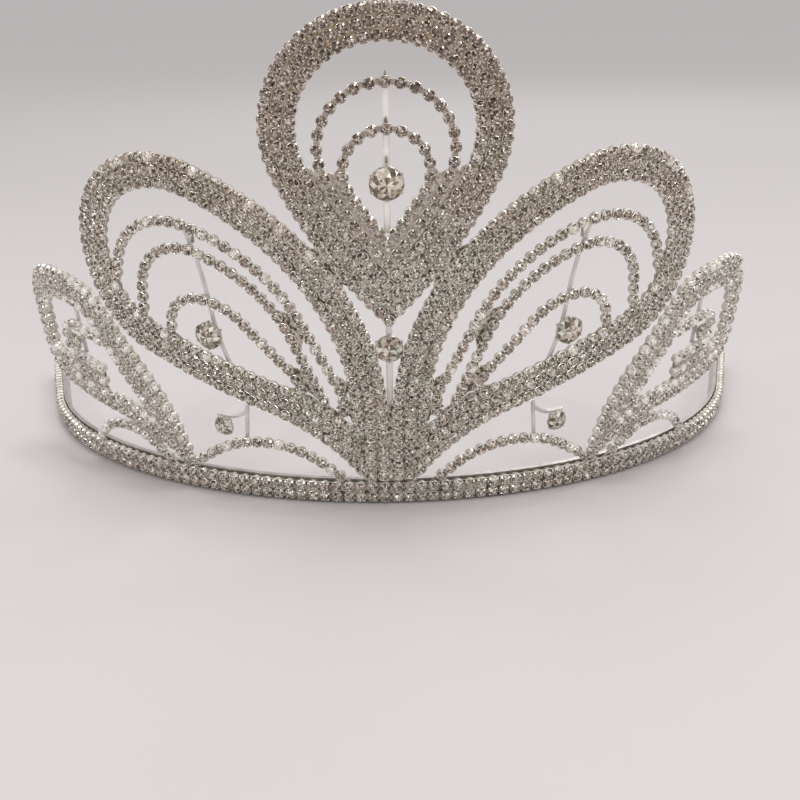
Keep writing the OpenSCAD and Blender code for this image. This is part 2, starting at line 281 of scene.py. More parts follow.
# points and faces, each face with a material number and a spark: on stones its painted brightness,
# standing in for what the facet reflects, on cups and plates 1 where it faces the front
class Shape:
    def __init__(self):
        self.points = []
        self.faces = []
        self.looks = []
        self.count = 0

    def add(self, points, faces, look, spark=0.5):
        start = self.count
        self.points.append(np.asarray(points, float))
        self.count += len(points)
        for number, face in enumerate(faces):
            self.faces.append([start + corner for corner in face])
            value = spark[number] if isinstance(spark, list) else spark
            self.looks.append((look, value))

    def build(self, name, materials, node):
        mesh = bpy.data.meshes.new(name)
        mesh.from_pydata(np.concatenate(self.points) * mm, [], self.faces)
        for material in materials:
            mesh.materials.append(finishes[material])
        mesh.polygons.foreach_set("material_index", [look[0] for look in self.looks])
        layer = mesh.attributes.new("spark", "FLOAT", "FACE")
        layer.data.foreach_set("value", [look[1] for look in self.looks])
        mesh.update()
        piece = bpy.data.objects.new(name, mesh)
        bpy.context.collection.objects.link(piece)
        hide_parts(node)
        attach(piece, "root")


def ring(radius, height, count, turn=0.0):
    angles = (np.arange(count) + turn) * 2 * np.pi / count
    return np.stack([radius * np.cos(angles), radius * np.sin(angles), np.full(count, height)], 1)


def loft(first, second, count):
    return [[first + i, first + (i + 1) % count, second + (i + 1) % count, second + i]
            for i in range(count)]


# the flat pattern of the ornament, which is bent onto the flared band


pattern = {
    "bandWidth": 160.0,
    "flare": math.radians(11),
    "wrap": math.radians(76),
    "endLength": 31.0,
    "bandHeight": 5.0,
    "strip": 0.8,
    "row": 2.4,
    "depth": 2.0,
    "gap": 0.16,
}
flare = pattern["flare"]
cone = pattern["bandWidth"] / 2 / math.sin(flare)
foot = pattern["bandHeight"] + pattern["gap"]
back = pattern["bandWidth"] / 2 - (pattern["gap"] + pattern["strip"] / 2) / math.cos(flare)
row = pattern["row"]


# directions at an angle t round the band, which is 0 at its front
def outward(t):
    return np.array([math.cos(flare) * math.sin(t), -math.cos(flare) * math.cos(t), -math.sin(flare)])


def upward(t):
    return np.array([math.sin(flare) * math.sin(t), -math.sin(flare) * math.cos(t), math.cos(flare)])


def along(t):
    return np.array([math.cos(t), math.sin(t), 0])


# the angle round the band at a place on the pattern; past the wrap the band runs straight
def turned(p):
    angle = math.atan2(abs(p[0]), cone + p[1]) / math.sin(flare)
    return math.copysign(min(angle, pattern["wrap"]), p[0])


# where a place on the pattern comes to lie, w outwards from it
def bend(p, w=0.0):
    fold = pattern["wrap"] * math.sin(flare)
    angle = math.atan2(abs(p[0]), cone + p[1])
    past = math.copysign(max(angle - fold, 0), p[0])
    reach = math.hypot(p[0], cone + p[1])
    t = turned(p)
    origin = np.array([0, back, -cone * math.cos(flare)])
    return (reach * math.cos(past) * upward(t) + reach * math.sin(past) * along(t)
            + w * outward(t) + origin)


# how high a place lies up the slope
def height(p):
    return math.hypot(p[0], cone + p[1]) - cone


# place and axes of a small thing on the pattern: along its heading, to its left, outward
def flatFrame(p, heading, w=0.0):
    small = 0.01  # a step ahead, to find the direction
    here = bend(p, w)
    ahead = bend((p[0] + small * math.cos(heading), p[1] + small * math.sin(heading)), w)
    x = (ahead - here) / np.linalg.norm(ahead - here)
    z = outward(turned(p))
    return here, np.stack([x, np.cross(z, x), z])


# start (x, y, heading in degrees) and bends (radius, turn), or (0, length) for a straight
class Path:
    def __init__(self, start, bends):
        self.bends = bends
        self.stops = [(start[0], start[1], math.radians(start[2]))]
        for number in range(len(bends)):
            self.stops.append(self.move(number, 1))

    def move(self, number, share):
        x, y, heading = self.stops[number]
        radius, amount = self.bends[number]
        if radius == 0:
            length = amount * share
            return (x + length * math.cos(heading), y + length * math.sin(heading), heading)
        curve = math.copysign(radius, amount)
        turn = heading + math.radians(amount) * share
        return (x + curve * (math.sin(turn) - math.sin(heading)),
                y - curve * (math.cos(turn) - math.cos(heading)), turn)

    def at(self, u, offset=0.0):
        number = min(int(u), len(self.bends) - 1)
        x, y, heading = self.move(number, u - number)
        return (x + offset * math.sin(heading), y - offset * math.cos(heading), heading)

    # how far q lies to the right of one bend
    def sideOf(self, number, q):
        x, y, heading = self.stops[number]
        radius, amount = self.bends[number]
        if radius == 0:
            return (q[0] - x) * math.sin(heading) - (q[1] - y) * math.cos(heading)
        curve = math.copysign(radius, amount)
        away = math.hypot(q[0] - x + curve * math.sin(heading), q[1] - y - curve * math.cos(heading))
        return -math.copysign(1, amount) * (radius - away)


# an inverted teardrop: a side arc, the round top and the other side arc
def drop(tip, length, roundRadius, sideRadius):
    k = length - roundRadius
    far = sideRadius - roundRadius
    b = (k * k + sideRadius ** 2 - far * far) / 2 / k
    a = math.sqrt(sideRadius ** 2 - b * b)
    lean = math.degrees(math.acos(a / sideRadius))
    rise = lean - math.degrees(math.acos(a / far))
    top = 90 + lean - rise
    past = 4  # degrees that the path runs on, for its two ends to cross
    return Path((0, tip, 90 + lean),
                [(sideRadius, -rise), (roundRadius, -2 * top), (sideRadius, -rise - past)])


centreOuter = drop(38.5, 60.4, 22.65, 115)
centreFirst = drop(49.6, 36.6, 13.3, 72)
centreSecond = drop(53.9, 24, 8.9, 80)
petal = Path((0.17, 6.5, 90), [(0, 12.2), (52.9, -71.5), (21.6, -180), (0, 27.7), (36.3, 34), (0, 12)])
petalFirst = Path((7.65, 14, 90), [(0, 8.5), (8, -27), (0, 15), (34.5, -50), (15, -91), (0, 12)])
petalSecond = Path((9.2, 18, 66), [(0, 19.6), (29.5, -51), (11.3, -101), (0, 14)])
petalThird = Path((12.3, 18, 66), [(0, 8.7), (14, -20), (0, 12), (14, -46), (7.6, -88), (0, 12)])
sideStart = (40.8, 3.5, 78)
sideBends = [(40, -31), (0, 17), (10, -40), (40, -20), (12, -82), (0, 6.5), (9, -84), (0, 20), (36, 30),
             (0, 14)]
sidePetal = Path(sideStart, sideBends)
sideFirst = Path(sideStart, sideBends[:8])
sideSecond = Path((60, 25.6, 12), [(0, 6), (25, -20), (4.7, -171), (0, 12)])
sideFirstBeside = 2 * row + 0.3
sideLoopsEnd = 64
frontArch = Path((7.38, 4.9, 46), [(0, 3.2), (20.2, -82), (0, 10)])
rearArch = Path((45.15, 1.92, 55), [(15.2, -65), (15.2, -65)])


# limits of the rows that stand on others: each is positive where a row may run
def inPetal(number):
    return lambda q: petal.sideOf(number, q) - 3 * row - pattern["gap"]


def onBand(q):
    return height(q) - foot


def onArm(q):
    return sidePetal.sideOf(8, q) - 2 * row - pattern["gap"]


def inSideLoop(q):
    return sidePetal.sideOf(1, q) - sideFirstBeside - row - pattern["gap"]


def loopEnd(q):
    return q[0] - sideLoopsEnd


# steps along a path, as shares of a bend
fineness = {"meeting": 0.02, "start": 0.005, "row": 0.004, "edge": 0.01, "corner": 0.02}


# where a limit changes sign between two places of a path
def meeting(limit, start, end, rising):
    steps = np.arange(start, end, fineness["meeting"])
    for u, v in zip(steps, steps[1:]):
        if (limit(u) < 0) == rising and (limit(v) < 0) != rising:
            return (u + v) / 2
    return start if rising else end


# from where to where a row of a closed loop runs: it ends in its last bends, where it meets its
# own first bend, and starts at that point
def closedSpan(path, offset):
    size = len(path.bends)
    end = meeting(lambda u: path.sideOf(0, path.at(u, offset)) - offset,
                  max(1.1, size - 2.5), size, False)
    q = path.at(end, offset)
    start = min((math.dist(path.at(u, offset)[:2], q[:2]), u)
                for u in np.arange(0, 1, fineness["start"]))[1]
    return start, end


# the ends of a row between two limits, or up to the path's end if the last is None
def standingSpan(path, offset, firstLimit, lastLimit):
    size = len(path.bends)
    start = meeting(lambda u: firstLimit(path.at(u, offset)), 0, 1, True)
    if lastLimit is None:
        return start, size
    return start, meeting(lambda u: lastLimit(path.at(u, offset)), size - 1, size, False)


# even places along a row, one to a stone; a closed row has one at its corner, and below
# a height the stones stand closer
def spread(path, offset, span, pitch, closed):
    us = np.arange(span[0], span[1], fineness["row"])
    points = np.array([path.at(u, offset) for u in us])
    pitches = np.where(points[1:, 1] < pitch["denseBelow"], pitch["dense"], pitch["wide"])
    shares = np.hypot(*np.diff(points[:, :2], axis=0).T) / pitches
    shares = np.concatenate([[0], np.cumsum(shares)])
    count = max(1, round(shares[-1]))
    wanted = (np.arange(count) + (0 if closed else 0.5)) * shares[-1] / count
    return [[np.interp(s, shares, points[:, k]) for k in range(3)] for s in wanted]


# how stones are laid, in shares of a row's width
laying = {
    "apart": 0.97,
    "moved": 0.45,  # no stone is moved further than this, in millimetres
    "rounds": 12,
    "push": 4,  # in a round, two crowded stones each move by a quarter of what is missing
    "nearest": 0.7,  # a stone nearer to another is left out
    "lowest": 0.6,  # so is one this much too low on the band, and the rest are raised
    "corner": 0.76,  # a corner with this much room gets a small stone
}


# moves crowded stones of one piece a little apart
def settle(places, apart, limit):
    points = np.array([place[:2] for place in places])
    home = points.copy()
    ignored = np.eye(len(points)) * 99  # keeps a stone from being its own neighbour
    for turn in range(laying["rounds"]):
        gaps = points[:, None] - points[None]
        away = np.hypot(gaps[..., 0], gaps[..., 1]) + ignored
        push = np.clip(apart - away, 0, None) / away / laying["push"]
        points = points + (gaps * push[..., None]).sum(1)
        points = home + np.clip(points - home, -limit, limit)
    return [[x, y, *place[2:]] for (x, y), place in zip(points, places)]


# one rhinestone in its cup


rhinestone = {
    "pitch": 2.36,
    "cupBack": 0.95,
    "cupFoot": 0.05,
    "cupFront": 1.19,
    "cupBend": 0.7,  # share of the height up to which the cup widens
    "cupTop": 1.16,
    "wall": 0.2,
    "rimRise": 0.07,
    "girdle": 0.99,
    "girdleAt": 1.24,
    "table": 0.58,
    "tableAt": 1.82,
    "star": 0.34,  # radius of the star seen inside the table
    "seatAt": 0.9,
    "clawTop": 1.6,
    "clawWidth": 0.4,
    "sides": 12,
    "single": 0.95,  # a single row's stones are a little smaller
    "tilt": 2.5,  # spread in degrees
    "toneSpread": 0.05,
}
plates = {
    "step": 1.4,
    "back": 0.4,
    "top": 0.85,
    "singleEdge": 0.66,  # how far a plate stays inside its rows
    "fieldEdge": 0.4,
    "fieldClose": 0.62,  # neighbours nearer than this almost meet
    "singleClose": 0.95,
    "beside": 0.6,  # a neighbour counts if this share of its distance is sideways
    "hair": 0.03,  # the gap to a close neighbour
    "shortest": 0.02,  # sections stand at least this share of a bend from an end
    "freeFrom": 0.8,  # an end with nothing this near is free
    "freeEnd": 0.9,  # how far the plate stops short of a free end
}


# a round brilliant: points, faces and the ring each face belongs to
# (0 star, 1 table edge, 2 star facets, 3 kites, 4 girdle facets, 5 the rest)
def brilliant(settings, count=8):
    girdle, girdleAt, table, tableAt, seatAt = [
        settings[key] for key in ("girdle", "girdleAt", "table", "tableAt", "seatAt")]
    middle = girdle * 0.8
    middleAt = girdleAt + (tableAt - girdleAt) * 0.6
    edge = girdle * 0.06
    keel = girdle * 0.5
    points = np.concatenate([
        [[0, 0, tableAt]], ring(settings["star"], tableAt, count, 0.5), ring(table, tableAt, count),
        ring(middle, middleAt, count, 0.5), ring(girdle, girdleAt, 2 * count),
        ring(girdle, girdleAt - edge, 2 * count), ring(keel, seatAt, 2 * count)])
    s, t, m, g = 1, 1 + count, 1 + 2 * count, 1 + 3 * count
    low, seat = g + 2 * count, g + 4 * count
    faces, rings = [], []
    for i in range(count):
        after, before = (i + 1) % count, (i - 1) % count
        found = [([0, s + before, t + i, s + i], 0), ([s + i, t + i, t + after], 1),
                 ([t + i, m + i, t + after], 2), ([t + i, m + before, g + 2 * i, m + i], 3),
                 ([m + i, g + 2 * i, g + 2 * i + 1], 4),
                 ([m + i, g + 2 * i + 1, g + (2 * i + 2) % (2 * count)], 4)]
        faces += [face for face, number in found]
        rings += [number for face, number in found]
    rest = [face[::-1] for face in loft(g, low, 2 * count) + loft(low, seat, 2 * count)]
    rest.append([seat + i for i in range(2 * count)][::-1])
    return points, faces + rest, rings + [5] * len(rest)


def cup(settings):
    n = settings["sides"]
    outer, inner = settings["cupFront"], settings["cupFront"] - settings["wall"]
    low, top = settings["cupTop"] * settings["cupBend"], settings["cupTop"]
    points = np.concatenate([
        ring(settings["cupBack"], settings["cupFoot"], n), ring(outer, low, n), ring(outer, top, n),
        ring(inner, top, n), ring(inner, low, n)])
    faces = [list(range(n))[::-1]]
    for k in (0, 1, 3):
        faces += loft(k * n, (k + 1) * n, n)
    faces.append([4 * n + i for i in range(n)])
    return points, faces


# the rim on top of the cup's wall, in the claws' lighter silver as a painted highlight
def rim(settings):
    n = settings["sides"]
    front, top = settings["cupFront"], settings["cupTop"]
    points = np.concatenate([
        ring(front, top, n), ring(front - settings["wall"] / 2, top + settings["rimRise"], n),
        ring(front - settings["wall"], top, n)])
    return points, loft(0, n, n) + loft(n, 2 * n, n)


# a tab with a square section, turned to an angle: its sections are outer, inner, level, half width
def tab(sections, angle):
    points = []
    for outer, inner, level, wide in sections:
        points += [[outer, -wide, level], [outer, wide, level],
                   [inner, wide, level], [inner, -wide, level]]
    faces = [[3, 2, 1, 0]]
    for k in range(len(sections) - 1):
        faces += loft(4 * k, 4 * k + 4, 4)
    last = 4 * len(sections) - 4
    faces.append([last, last + 1, last + 2, last + 3])
    c, s = math.cos(angle), math.sin(angle)
    return np.array(points) @ np.array([[c, s, 0], [-s, c, 0], [0, 0, 1]]), faces


# a claw from the cup's rim folds in over the stone's edge; its lighter silver is a painted highlight
def claw(settings, angle):
    front, top, half = settings["cupFront"], settings["clawTop"], settings["clawWidth"] / 2
    return tab([(front + 0.04, front - 0.12, settings["cupTop"] * settings["cupBend"], half),
                (front + 0.03, front - 0.12, settings["girdleAt"] + 0.08, half),
                (front - 0.1, front - 0.28, top - 0.08, half * 0.85),
                (front - 0.34, front - 0.4, top, half * 0.55)], angle)


# 1 for a face that looks outwards, to the front, and 0 for any other
def frontMark(corners):
    return float(np.cross(corners[1] - corners[0], corners[2] - corners[0])[2] > 0)


# numbers of the finishes in a chain's parts
cupPart, stonePart, platePart, clawPart = range(4)
cupShape = cup(rhinestone)
cupFronts = [frontMark(cupShape[0][face]) for face in cupShape[1]]
rimShape = rim(rhinestone)
clawShapes = [claw(rhinestone, math.pi / 4 + i * math.pi / 2) for i in range(4)]
stoneShape = brilliant(rhinestone)
# mean and spread of the painted brightness in each ring of facets, standing in for what they reflect
ringTones = [(0.54, 0.2), (0.4, 0.18), (0.52, 0.2), (0.45, 0.2), (0.42, 0.2), (0.32, 0.08)]
nearlyBlack = 0.12


# painted reflection on each facet: most are mid tones, a few nearly black, a few white glints
def paintedFacetReflections(draw, rings, bias, white=0.05, black=0.06):
    values = []
    for number in rings:
        mean, width = ringTones[number]
        value = draw.gauss(mean + bias, width)
        chance = draw.random()
        if chance < white:
            value = 1
        elif chance < white + black:
            value = draw.uniform(0, nearlyBlack)
        values.append(min(max(value, 0), 1))
    return values


# one stone in its cup at a place, with a slight tilt and its own turn
def addUnit(shape, draw, place, axes, size=1.0, bias=0.0):
    tiltX, tiltY = [Matrix.Rotation(math.radians(draw.gauss(0, rhinestone["tilt"])), 3, axis)
                    for axis in "XY"]
    tilted = np.array(tiltX @ tiltY) @ axes
    sizes = (size, size, 1)
    shape.add(cupShape[0] * sizes @ axes + place, cupShape[1], cupPart, cupFronts)
    for points, faces in [rimShape] + clawShapes:
        shape.add(points * sizes @ axes + place, faces, clawPart)
    turn = np.array(Matrix.Rotation(draw.uniform(0, math.pi / 4), 3, "Z"))
    points, faces, rings = stoneShape
    tones = paintedFacetReflections(draw, rings, bias + draw.gauss(0, rhinestone["toneSpread"]))
    shape.add(points * sizes @ turn @ tilted + place, faces, stonePart, tones)


# how near a neighbour has to be to count as close
def closeness(count):
    return plates["singleClose"] if count == 1 else plates["fieldClose"]


# both edges of a piece in the flat pattern, with how near a neighbour is close
def edgesOf(rows):
    path, first, count = rows["path"], rows["first"], rows["count"]
    points = []
    for offset in (first, first + count * row):
        start, end = rows["ends"](offset)
        points += [(*path.at(u, offset)[:2], closeness(count))
                   for u in np.arange(start, end, fineness["edge"])]
    return np.array(points)


# how far a plate's edge lies from its row's edge: inside it, or out to a close neighbour
def edgeShift(path, u, offset, out, others, count):
    x, y, heading = path.at(u, offset)
    away = others[:, :2] - (x, y)
    distances = np.hypot(away[:, 0], away[:, 1])
    nearest = int(np.argmin(distances))
    distance = distances[nearest]
    sideways = out * (away[nearest] @ (math.sin(heading), -math.cos(heading)))
    if (distance < max(closeness(count), others[nearest, 2])
            and sideways > plates["beside"] * distance):
        return out * (distance - plates["hair"]) / 2
    return -out * (plates["singleEdge"] if count == 1 else plates["fieldEdge"])


# an end that meets no other piece and not the band
def freeEnd(path, u, offset, others):
    x, y, heading = path.at(u, offset)
    nearest = np.hypot(others[:, 0] - x, others[:, 1] - y).min()
    return nearest > plates["freeFrom"] and height((x, y)) > foot + row


# where the sections of a plate lie along its path
def sectionsOf(path, low, high, closed):
    marks = []
    for number, (radius, amount) in enumerate(path.bends):
        length = abs(amount) * (math.radians(radius) if radius else 1)
        parts = max(1, math.ceil(length / plates["step"]))
        marks += [number + k / parts for k in range(parts)]
    if closed:
        return marks + [len(path.bends)]
    least = plates["shortest"]
    return [low] + [u for u in marks if low + least < u < high - least] + [high]


# the metal that joins the cups of a piece
def addPlate(shape, rows, mirror, others):
    path, closed, count = rows["path"], rows["closed"], rows["count"]
    offsets = [rows["first"] + k * row for k in range(count + 1)]
    spans = [rows["ends"](offset) for offset in offsets]
    low = max(span[0] for span in spans)
    high = min(span[1] for span in spans)
    marks = sectionsOf(path, low, high, closed)
    # a section has a point at the back of either edge and a row of points along its top
    across = [0, *range(count + 1), count]
    levels = [plates["back"], *[plates["top"]] * (count + 1), plates["back"]]
    middle = rows["first"] + count * row / 2
    # how far the first and last sections are drawn in, if they are free ends
    draws = {} if closed else {
        mark: way * plates["freeEnd"] for mark, u, way in ((0, low, 1), (len(marks) - 1, high, -1))
        if freeEnd(path, u, middle, others)}
    points = []
    for mark, u in enumerate(marks):
        shifts = {}
        for k, out in ((0, -1), (count, 1)):
            at = min(max(u, spans[k][0]), spans[k][1])
            shifts[k] = edgeShift(path, at, offsets[k], out, others, count)
        for k, w in zip(across, levels):
            if closed:
                at = min(max(u, spans[k][0]), spans[k][1])
            else:
                at = {0: spans[k][0], len(marks) - 1: spans[k][1]}.get(mark, u)
            x, y, heading = path.at(at, offsets[k] + shifts.get(k, 0))
            x += draws.get(mark, 0) * math.cos(heading)
            y += draws.get(mark, 0) * math.sin(heading)
            rise = foot - height((x, y))
            points.append(bend((x, y + max(rise, 0)), w) * mirror)
    size = len(across)
    faces = []
    for k in range(len(marks) - 1):
        faces += loft(k * size, (k + 1) * size, size)
    last = size * (len(marks) - 1)
    # a section's first and last faces are its edges, and the two ends come after all sections
    fronts = [float(0 < k % size < size - 2) for k in range(len(faces))] + [0.0, 0.0]
    faces += [list(range(size))[::-1], [last + k for k in range(size)]]
    if mirror[0] > 0:
        faces = [face[::-1] for face in faces]
    shape.add(points, faces, platePart, fronts)


# small stones in the corners that the rows leave bare
def fillCorners(rows, places):
    path, found = rows["path"], []
    for k in range(2 * rows["count"] - 1):
        offset = rows["first"] + (k + 1) * row / 2
        start, end = rows["ends"](offset)
        for u in np.arange(start, end, fineness["corner"]):
            x, y, heading = path.at(u, offset)
            if foot + row / 2 - height((x, y)) > 0:
                continue
            near = min(math.dist((x, y), other[:2]) for other in places + found)
            if near > row * laying["corner"]:
                found.append([x, y, heading, min(near / row * 2 - 1, 1), 0])
    return found


# places of a piece's stones: x, y, heading, size and how far the edge they lie on looks up
def stonePlaces(rows):
    path, count = rows["path"], rows["count"]
    size = rhinestone["single"] if count == 1 else 1.0
    places = []
    for k in range(count):
        offset = rows["first"] + (k + 0.5) * row
        for x, y, heading in spread(path, offset, rows["ends"](offset), rows["pitch"], rows["closed"]):
            low = foot + row / 2 - height((x, y))
            if low > row * laying["lowest"]:
                continue
            near = min([math.dist((x, y), other[:2]) for other in places], default=math.inf)
            if near > row * laying["nearest"]:
                # how far the edge a stone lies on looks up, where it may get a painted glint
                facing = math.cos(heading) if k == 0 else 0
                facing = max(facing, -math.cos(heading)) if k == count - 1 else facing
                places.append([x, y + max(low, 0), heading, size, facing])
    places = settle(places, row * laying["apart"], laying["moved"])
    if count > 1:
        places += fillCorners(rows, places)
    return places


# all rows of one chain node, side by side on one path
def makeChain(name, rows, others, flip, look):
    shape = Shape()
    draw = random.Random(name)
    mirror = np.array([-1.0 if flip else 1.0, 1.0, 1.0])
    addPlate(shape, rows, mirror, others)
    places = stonePlaces(rows)
    for x, y, heading, size, facing in places:
        place, axes = flatFrame((x, y), heading)
        axes = axes * mirror
        axes[1] *= mirror[0]
        # some stones on upward edges are painted brighter, as painted glints
        paintedGlint = facing > paintedGlints["facing"] and draw.random() < look["paintedGlints"]
        bias = look["bias"] + (paintedGlints["bias"] if paintedGlint else 0)
        addUnit(shape, draw, place * mirror, axes, size, bias)
    print(name, len(places), "stones,", len(shape.faces), "faces")
    shape.build(name + "_chain", look["parts"], name)


evenPitch = {"dense": rhinestone["pitch"], "wide": rhinestone["pitch"], "denseBelow": 0}
loopPitch = {"dense": rhinestone["pitch"], "wide": 2.7, "denseBelow": 64}  # loose round the top


# keeps the ends that a function finds for a row, as a plate asks for them often
def remembered(spanAt):
    known = {}

    def ends(offset):
        if offset not in known:
            known[offset] = spanAt(offset)
        return known[offset]
    return ends


def closedRows(path, count, pitch=evenPitch):
    return {"path": path, "closed": True, "first": 0.0, "count": count, "pitch": pitch,
            "ends": remembered(lambda offset: closedSpan(path, offset))}


def standingRow(path, firstLimit, lastLimit, first=0.0):
    return {"path": path, "closed": False, "first": first, "count": 1, "pitch": evenPitch,
            "ends": remembered(lambda offset: standingSpan(path, offset, firstLimit, lastLimit))}


def sidesOf(middle):
    return [""] if middle else ["right_", "left_"]


# stones on an edge that looks up this much may get a painted glint, and are then painted this much
# brighter
paintedGlints = {"facing": 0.3, "bias": 0.4}
# how pieces look: brightness, share of the stones on upper edges that get a painted glint, and the
# finishes of cup, stone, plate and claw
looks = {
    # the centre piece is a little darker, as painted shade towards the top
    "centre": {"bias": -0.02, "paintedGlints": 0.0, "parts": ["cup", "rhinestone", "plate", "claw"]},
    "centreLoop": {"bias": -0.06, "paintedGlints": 0.0, "parts": ["cup", "rhinestone", "plateLoop", "claw"]},
    "petal": {"bias": 0.0, "paintedGlints": 0.14, "parts": ["cup", "rhinestone", "plate", "claw"]},
    "loop": {"bias": -0.04, "paintedGlints": 0.15, "parts": ["cup", "rhinestone", "plate", "claw"]},
    # pieces with this look are a little lighter, as painted light
    "side": {"bias": 0.03, "paintedGlints": 0.4,
             "parts": ["cupPaintedLight", "rhinestonePale", "platePaintedLight", "clawPaintedLight"]},
}
chains = {
    "centre_petal": (closedRows(centreOuter, 3), "centre"),
    "centre_loop_1": (closedRows(centreFirst, 1, loopPitch), "centreLoop"),
    "centre_loop_2": (closedRows(centreSecond, 1, loopPitch), "centreLoop"),
    "petal": (closedRows(petal, 3), "petal"),
    "petal_loop_1": (standingRow(petalFirst, inPetal(4), inPetal(2)), "loop"),
    "petal_loop_2": (standingRow(petalSecond, inPetal(4), inPetal(2)), "loop"),
    "petal_loop_3": (standingRow(petalThird, inPetal(4), inPetal(3)), "loop"),
    "side_petal": (closedRows(sidePetal, 2), "side"),
    "side_loop_1": (standingRow(sideFirst, onArm, loopEnd, sideFirstBeside), "side"),
    "side_loop_2": (standingRow(sideSecond, inSideLoop, loopEnd), "side"),
    # its last stone shares its place with one of the side petal
    "front_arch": (standingRow(frontArch, onBand, None), "petal"),
    "rear_arch": (standingRow(rearArch, onBand, onBand), "side"),
}
# a piece's neighbours are all other pieces, and the mirror images of all pieces
edges = {name: edgesOf(chain[0]) for name, chain in chains.items()}
for chainName, (chainRows, chainLook) in chains.items():
    middle = chainName.startswith("centre")
    others = [points for name, points in edges.items() if name != chainName]
    others += [points * (-1, 1, 1) for name, points in edges.items()
               if not (middle and name == chainName)]
    others = np.concatenate(others)
    for side in sidesOf(middle):
        makeChain(side + chainName, chainRows, others, side == "left_", looks[chainLook])
print("petals made")


# the band: a bare strip with two rows of stones in front


bandRows = {
    "low": pattern["depth"] * math.tan(flare) + 0.05,
    "size": 0.94,
    # the band's rows are a little lighter, as painted light
    "bias": 0.03,
    "edge": 0.4,  # how far the plate stays inside its rows
}


# place and axes at a run s along the band and a height h up its slope
def bandPlace(s, h):
    radius = pattern["bandWidth"] / 2
    arc = radius * pattern["wrap"]
    t = max(-arc, min(arc, s)) / radius
    rest = s - t * radius
    origin = np.array([0, back, -cone * math.cos(flare)])
    place = (cone + h) * upward(t) + rest * along(t) + origin
    x = along(t)
    z = outward(t)
    return place, np.stack([x, np.cross(z, x), z])


def makeBandRows():
    shape = Shape()
    draw = random.Random("band")
    low, top = bandRows["low"], pattern["bandHeight"]
    reach = pattern["bandWidth"] / 2 * pattern["wrap"] + pattern["endLength"]
    count = round(2 * reach / rhinestone["pitch"])
    for share in (0.25, 0.75):
        for i in range(count):
            s = -reach + (i + 0.5) * 2 * reach / count
            place, axes = bandPlace(s, low + (top - low) * share)
            addUnit(shape, draw, place, axes, bandRows["size"], bandRows["bias"])
    # the plate behind the cups: lower and upper corner at its back, then at its front
    low, top = low + bandRows["edge"], top - bandRows["edge"]
    corners = [(low, plates["back"]), (top, plates["back"]), (top, plates["top"]), (low, plates["top"])]
    points = []
    steps = 2 * count
    for i in range(steps + 1):
        for h, w in corners:
            place, axes = bandPlace(reach * (2 * i / steps - 1), h)
            points.append(place + w * axes[2])
    faces = [[3, 2, 1, 0], [4 * steps + k for k in range(4)]]
    for i in range(steps):
        faces += loft(4 * i, 4 * i + 4, 4)
    # after the two ends, the third of every four faces looks to the front
    fronts = [float(k > 1 and k % 4 == 0) for k in range(len(faces))]
    shape.add(points, faces, platePart, fronts)
    print("band_rows", 2 * count, "stones,", len(shape.faces), "faces")
    shape.build("band_rows_chain", looks["petal"]["parts"], "band_rows")


makeBandRows()


# large stones and the settings that carry them


# sizes of a stone with a radius of 1, and its tones
largeStones = {
    "girdle": 0.94,
    "table": 0.5,
    "tableAt": 0.275,
    "star": 0.3,
    "seatAt": -0.45,
    "depth": 0.62,
    "rise": 0.35,  # how far it is lifted off its setting's foot, in millimetres
    "sides": 12,
    "bias": 0.04,
    # shares of white glints and nearly black facets, as painted reflections
    "white": 0.04,
    "black": 0.05,
    # the light bars and the dark facets are painted reflections
    "bar": 0.22,  # facets this near to the level line are the light bars
    "barTones": (0.68, 0.9),
    "dark": {"outer": 0.4, "inner": 0.25},  # share of the other facets that are dark
    "darkTones": (0.05, 0.3),
    "seats": {
        # at, diameter, lift over the rows, claws
        "centre": ((0, 67.1), 6.4, 0.0, 6),
        "pendant": ((0, 35.3), 5.4, 1.3, 6),
        "petal": ((34.6, 34.7), 5.6, 0.0, 6),
        "arch": ((33.2, 14.8), 4.0, 0.0, 4),
        "side": ((73.2, 22.4), 3.2, 0.0, 4),
    },
}
stems = {
    "width": {"centre": 1.25, "pendant": 1.25, "petal": 0.8, "arch": 0.8, "side": 0.8},
    "back": -0.98,
    "front": -0.22,
    "round": 0.22,
    "routes": {
        "centre": [Path((0, 57, 90), [(0, 28)])],
        "pendant": [Path((0, 15, 90), [(0, 26)])],
        "petal": [Path((31.7, 28, 66), [(45, 16), (60, -17)])],
        "arch": [Path((28.7, 19.6, -86), [(0, 8.4)]), Path((28.7, 18.6, -60), [(5, 60), (0, 2.5)])],
        "side": [Path((74.7, 33, -98), [(0, 14)])],
    },
    # small dark wire ends above the rows: at, length
    "pins": {
        "centre": [((0, 85.9), 0.8), ((0, 77.6), 0.9), ((0, 70.3), 1.2)],
        "petal": [((37.2, 52.9), 1.6)],
    },
    "pinWidth": 0.42,
    "pinBack": -0.2,
    "pinFront": 0.3,
}
# numbers of the finishes in a setting's parts
stemPart, pinPart, wirePart, colletPart = range(4)


# how far a stone's girdle stands out from the rows' backs
def seatHeight(diameter, lift):
    return largeStones["depth"] * diameter / 2 + largeStones["rise"] - pattern["gap"] + lift


def seatOf(at, diameter, lift, flip):
    place, axes = flatFrame(at, 0, seatHeight(diameter, lift))
    if flip:
        place[0] = -place[0]
        axes = axes * (-1, 1, 1)
        axes[0] = -axes[0]
    return place, axes


